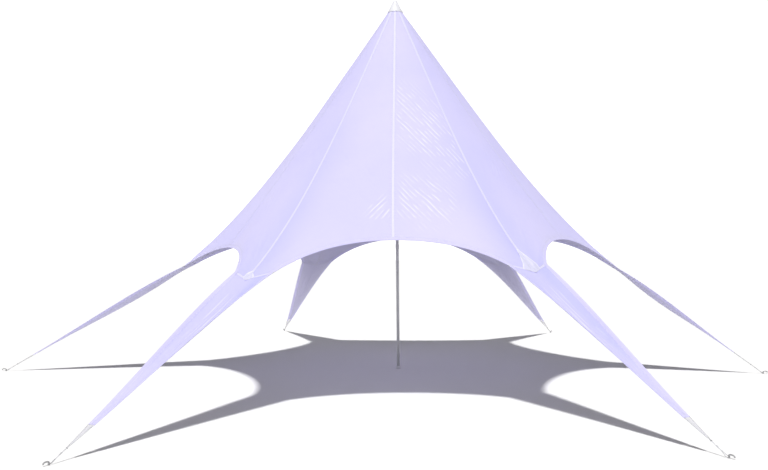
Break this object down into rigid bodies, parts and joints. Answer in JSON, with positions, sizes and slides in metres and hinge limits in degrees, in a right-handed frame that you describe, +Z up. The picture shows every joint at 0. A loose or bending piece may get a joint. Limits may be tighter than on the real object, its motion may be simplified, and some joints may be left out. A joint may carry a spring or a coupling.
{
  "type": "star tent",
  "caption": "Free-standing star-shaped fabric canopy on one central mast, its tapering arms drawn down by edge cables to hooked ground pegs, open all round under arched edges.",
  "frame": {"origin": "centre of the mast foot's underside, on the ground", "axes": "+Z up along the mast, +Y from the front bay to the back bay, +X to the right seen from the front"},
  "size_m": [11.9331, 10.9232, 5.904],
  "materials": {
    "canopy_fabric": "coated polyester, matt, faintly lavender white, slightly see-through to light",
    "cable_steel": "galvanised wire rope",
    "peg_steel": "dull galvanised bar",
    "mast_aluminium": "grey anodised tube",
    "foot_plastic": "pale grey moulded",
    "cap_plastic": "white moulded"
  },
  "bodies": {
    "root": {"back_right_bay_gore_1": "canopy_fabric", "back_right_bay_gore_2": "canopy_fabric", "back_bay_gore_1": "canopy_fabric", "back_bay_gore_2": "canopy_fabric", "back_left_bay_gore_1": "canopy_fabric", "back_left_bay_gore_2": "canopy_fabric", "front_left_bay_gore_1": "canopy_fabric", "front_left_bay_gore_2": "canopy_fabric", "front_bay_gore_1": "canopy_fabric", "front_bay_gore_2": "canopy_fabric", "front_right_bay_gore_1": "canopy_fabric", "front_right_bay_gore_2": "canopy_fabric", "right_arm": "canopy_fabric", "back_right_arm": "canopy_fabric", "back_left_arm": "canopy_fabric", "left_arm": "canopy_fabric", "front_left_arm": "canopy_fabric", "front_right_arm": "canopy_fabric", "back_right_bay_edge_cable": "cable_steel", "back_bay_edge_cable": "cable_steel", "back_left_bay_edge_cable": "cable_steel", "front_left_bay_edge_cable": "cable_steel", "front_bay_edge_cable": "cable_steel", "front_right_bay_edge_cable": "cable_steel", "right_clamp": "cable_steel", "back_right_clamp": "cable_steel", "back_left_clamp": "cable_steel", "left_clamp": "cable_steel", "front_left_clamp": "cable_steel", "front_right_clamp": "cable_steel", "right_peg": "peg_steel", "back_right_peg": "peg_steel", "back_left_peg": "peg_steel", "left_peg": "peg_steel", "front_left_peg": "peg_steel", "front_right_peg": "peg_steel", "mast_lower": "mast_aluminium", "mast_middle": "mast_aluminium", "mast_upper": "mast_aluminium", "mast_head": "mast_aluminium", "mast_foot": "foot_plastic", "peak_cap": "cap_plastic"}
  },
  "joints": []
}
